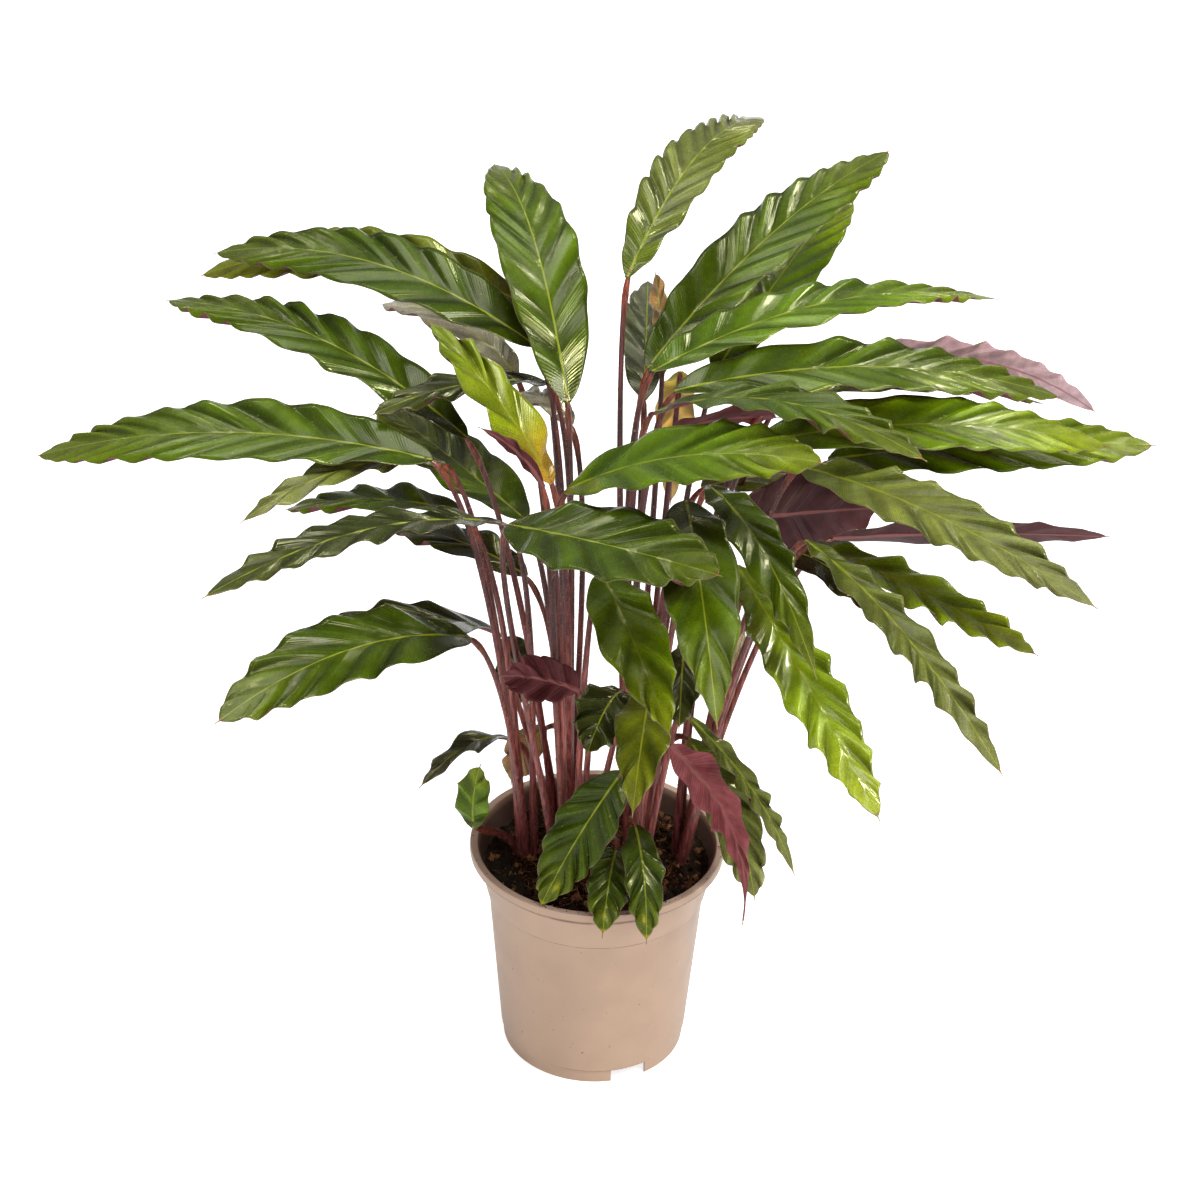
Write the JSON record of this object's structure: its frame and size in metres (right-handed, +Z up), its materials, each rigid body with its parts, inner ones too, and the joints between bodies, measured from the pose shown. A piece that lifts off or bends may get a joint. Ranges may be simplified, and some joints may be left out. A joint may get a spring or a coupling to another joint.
{
  "type": "potted calathea",
  "caption": "Potted calathea: long lance-shaped leaves with waved edges and maroon undersides on maroon stalks, rising from peat in a tapered plastic nursery pot.",
  "frame": {"origin": "centre of the pot's base, on the surface that it stands on, and the middle of the leaves' spread in X and Y", "axes": "+Z up, +X to the plant's right as the picture sees it, along its widest spread, and -Y towards the front"},
  "size_m": [0.7205, 0.5606, 0.5918],
  "materials": {
    "pot_plastic": "satin injection-moulded polypropylene in taupe, with a little dry soil on the rim",
    "peat": "dark, crumbly, slightly moist peat with fibres and bark chips",
    "stalk": "matt maroon stalk under short orange-brown hairs",
    "leaf": "satin green upper face with a pale midrib and pleated side veins, maroon underside",
    "dying_leaf": "dry yellow-brown leaf"
  },
  "bodies": {
    "root": {"pot": "pot_plastic", "soil": "peat", "stems_left": "stalk", "stems_back_left": "stalk", "stems_back_right": "stalk", "stems_right": "stalk", "stems_front_right": "stalk", "stems_front_left": "stalk", "leaf_01": "leaf", "leaf_02": "leaf", "leaf_03": "leaf", "leaf_04": "leaf", "leaf_05": "leaf", "leaf_06": "leaf", "leaf_07": "leaf", "leaf_08": "leaf", "leaf_09": "leaf", "leaf_10": "leaf", "leaf_11": "leaf", "leaf_12": "leaf", "leaf_13": "leaf", "leaf_14": "leaf", "leaf_15": "leaf", "leaf_16": "leaf", "leaf_17": "leaf", "leaf_18": "dying_leaf", "leaf_19": "leaf", "leaf_20": "leaf", "leaf_21": "leaf", "leaf_22": "leaf", "leaf_23": "leaf", "leaf_24": "leaf", "leaf_25": "leaf", "leaf_26": "dying_leaf", "leaf_27": "leaf", "leaf_28": "leaf", "leaf_29": "leaf", "leaf_30": "leaf", "leaf_31": "leaf", "leaf_32": "leaf", "leaf_33": "leaf", "leaf_34": "leaf", "leaf_35": "leaf", "leaf_36": "leaf", "leaf_37": "leaf", "leaf_38": "leaf", "leaf_39": "leaf", "leaf_40": "leaf", "leaf_41": "leaf", "leaf_42": "leaf", "leaf_43": "leaf", "leaf_44": "leaf", "leaf_45": "leaf", "leaf_46": "leaf", "leaf_47": "leaf", "leaf_48": "leaf", "leaf_49": "leaf", "leaf_50": "leaf", "leaf_51": "leaf", "leaf_52": "leaf"}
  },
  "joints": []
}
